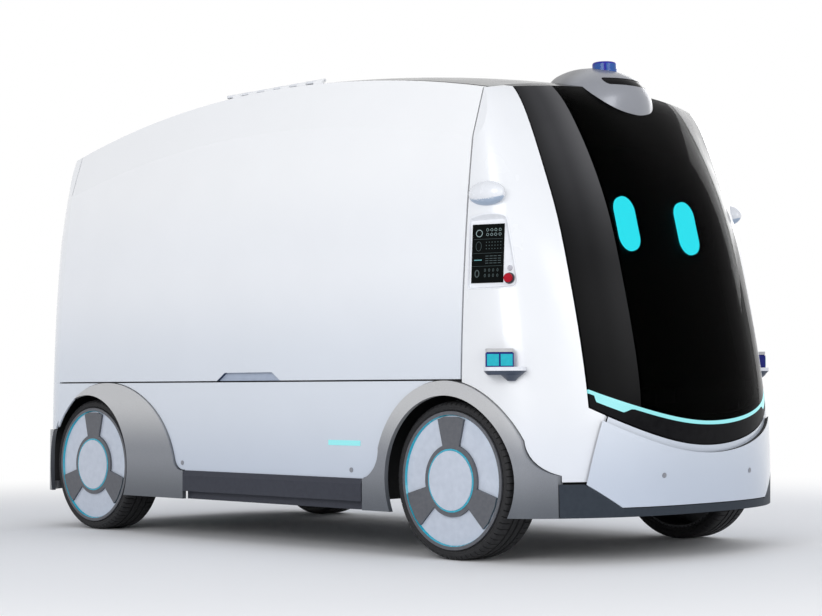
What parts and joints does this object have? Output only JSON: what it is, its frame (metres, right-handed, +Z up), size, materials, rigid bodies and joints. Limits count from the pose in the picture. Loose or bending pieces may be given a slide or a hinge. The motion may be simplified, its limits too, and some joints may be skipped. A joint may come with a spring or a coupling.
{
  "type": "autonomous mobile robot",
  "caption": "Driverless delivery van with steered wheels, air suspension, top-hinged side cargo doors, a black visor with lit eyes and roof sensors.",
  "frame": {"origin": "centre of the footprint, on the floor the tyres stand on", "axes": "+X to the front of the vehicle, +Y to its left, +Z up"},
  "size_m": [3.2031, 1.592, 1.8568],
  "materials": {
    "body_white": "gloss",
    "cladding_grey": "satin metallic",
    "sill_dark": "matte",
    "roof_dark": "gloss",
    "visor_black": "gloss",
    "side_glass": "gloss",
    "trim_black": "gloss",
    "light_cyan": "gloss",
    "eye_cyan": "gloss",
    "tyre_rubber": "matte",
    "wheel_alloy": "satin",
    "frame_metal": "satin",
    "axle_steel": "satin",
    "steel_bright": "brushed",
    "floor_grey": "matte",
    "bulkhead_grey": "matte",
    "liner_black": "matte",
    "battery_case": "satin",
    "compute_case": "satin",
    "spring_rubber": "matte",
    "pod_silver": "satin metallic",
    "camera_black": "gloss",
    "lidar_blue": "gloss",
    "panel_white": "satin",
    "screen_black": "gloss",
    "stop_base_dark": "matte",
    "stop_red": "gloss",
    "button_silver": "brushed",
    "bracket_white": "satin",
    "lidar_navy": "gloss",
    "camera_white": "gloss",
    "sonar_grey": "matte"
  },
  "bodies": {
    "chassis": {"visor_glass": "visor_black", "side_glass": "side_glass", "front_light_bar": "light_cyan", "chin_trim": "trim_black", "front_cowls": "body_white", "front_bumper": "body_white", "front_lip": "cladding_grey", "arch_trims_front": "cladding_grey", "arch_trims_rear": "cladding_grey", "rear_bumper": "cladding_grey", "rear_panel": "body_white", "rear_light_bar": "light_cyan", "roof_panel": "roof_dark", "lower_side_panels": "body_white", "sills": "sill_dark", "door_hinges": "steel_bright", "roof_frame": "frame_metal", "bulkheads": "bulkhead_grey", "glazing_frame": "trim_black", "chassis_frame": "frame_metal", "cargo_floor": "floor_grey", "battery_pack": "battery_case", "compute_unit": "compute_case", "wheelhouse_liners": "liner_black", "front_air_springs": "spring_rubber", "rear_air_springs": "spring_rubber", "face_carrier": "trim_black", "eye_displays": "eye_cyan", "sensor_pod": "pod_silver", "pod_camera_bar": "camera_black", "top_lidar": "lidar_blue", "control_panel": "panel_white", "touchscreen": "screen_black", "estop_base": "stop_base_dark", "side_lidar_brackets": "bracket_white", "side_lidars": "lidar_navy", "side_camera_pods": "camera_white", "side_light_strips": "light_cyan", "ultrasonic_sensors": "sonar_grey"},
    "door_right": {"door_right": "body_white"},
    "door_left": {"door_left": "body_white"},
    "front_axle": {"front_axle": "axle_steel"},
    "knuckle_right": {"knuckle_right": "steel_bright"},
    "knuckle_left": {"knuckle_left": "steel_bright"},
    "tie_rod": {"tie_rod": "steel_bright"},
    "rear_axle": {"rear_axle": "axle_steel"},
    "estop_button": {"estop_button": "stop_red"},
    "power_button": {"power_button": "button_silver"},
    "wheel_front_right": {"tyre_front_right": "tyre_rubber", "wheel_front_right": "wheel_alloy"},
    "wheel_front_left": {"tyre_front_left": "tyre_rubber", "wheel_front_left": "wheel_alloy"},
    "wheel_rear_right": {"tyre_rear_right": "tyre_rubber", "wheel_rear_right": "wheel_alloy"},
    "wheel_rear_left": {"tyre_rear_left": "tyre_rubber", "wheel_rear_left": "wheel_alloy"}
  },
  "joints": [
    {"name": "front_suspension", "type": "slide", "parent": "chassis", "child": "front_axle", "axis": [0, 0, 1], "range_m": [-0.025, 0.025], "stiffness_N_per_m": 160000, "springref_m": -0.02, "deforming": ["front_air_springs"]},
    {"name": "rear_suspension", "type": "slide", "parent": "chassis", "child": "rear_axle", "axis": [0, 0, 1], "range_m": [-0.025, 0.025], "stiffness_N_per_m": 160000, "springref_m": -0.02, "deforming": ["rear_air_springs"]},
    {"name": "steer_right", "type": "hinge", "parent": "front_axle", "child": "knuckle_right", "pos_m": [0.98, -0.59, 0.28], "axis": [0, 0, 1], "range_deg": [-25, 25]},
    {"name": "steer_left", "type": "hinge", "parent": "front_axle", "child": "knuckle_left", "pos_m": [0.98, 0.59, 0.28], "axis": [0, 0, 1], "range_deg": [-25, 25]},
    {"name": "tie_rod_slide", "type": "slide", "parent": "front_axle", "child": "tie_rod", "axis": [0, 1, 0], "range_m": [-0.066, 0.066]},
    {"name": "wheel_spin_front_right", "type": "hinge", "parent": "knuckle_right", "child": "wheel_front_right", "pos_m": [0.98, -0.6325, 0.28], "axis": [0, 1, 0], "continuous": true},
    {"name": "wheel_spin_front_left", "type": "hinge", "parent": "knuckle_left", "child": "wheel_front_left", "pos_m": [0.98, 0.6325, 0.28], "axis": [0, 1, 0], "continuous": true},
    {"name": "wheel_spin_rear_right", "type": "hinge", "parent": "rear_axle", "child": "wheel_rear_right", "pos_m": [-1.2, -0.6325, 0.28], "axis": [0, 1, 0], "continuous": true},
    {"name": "wheel_spin_rear_left", "type": "hinge", "parent": "rear_axle", "child": "wheel_rear_left", "pos_m": [-1.2, 0.6325, 0.28], "axis": [0, 1, 0], "continuous": true},
    {"name": "door_right_hinge", "type": "hinge", "parent": "chassis", "child": "door_right", "pos_m": [-0.12, -0.59, 1.806], "axis": [-1, 0, 0], "range_deg": [0, 80]},
    {"name": "door_left_hinge", "type": "hinge", "parent": "chassis", "child": "door_left", "pos_m": [-0.12, 0.59, 1.806], "axis": [1, 0, 0], "range_deg": [0, 80]},
    {"name": "estop_press", "type": "slide", "parent": "chassis", "child": "estop_button", "axis": [-0.3079, 0.9477, -0.0837], "range_m": [0, 0.005], "stiffness_N_per_m": 4000, "springref_m": -0.002},
    {"name": "power_press", "type": "slide", "parent": "chassis", "child": "power_button", "axis": [-0.3079, 0.9477, -0.0837], "range_m": [0, 0.002], "stiffness_N_per_m": 1500, "springref_m": -0.001}
  ],
  "couplings": [
    {"joint": "steer_left", "follows": "steer_right", "ratio": 1},
    {"joint": "tie_rod_slide", "follows": "steer_right", "m_per_rad": -0.15}
  ]
}
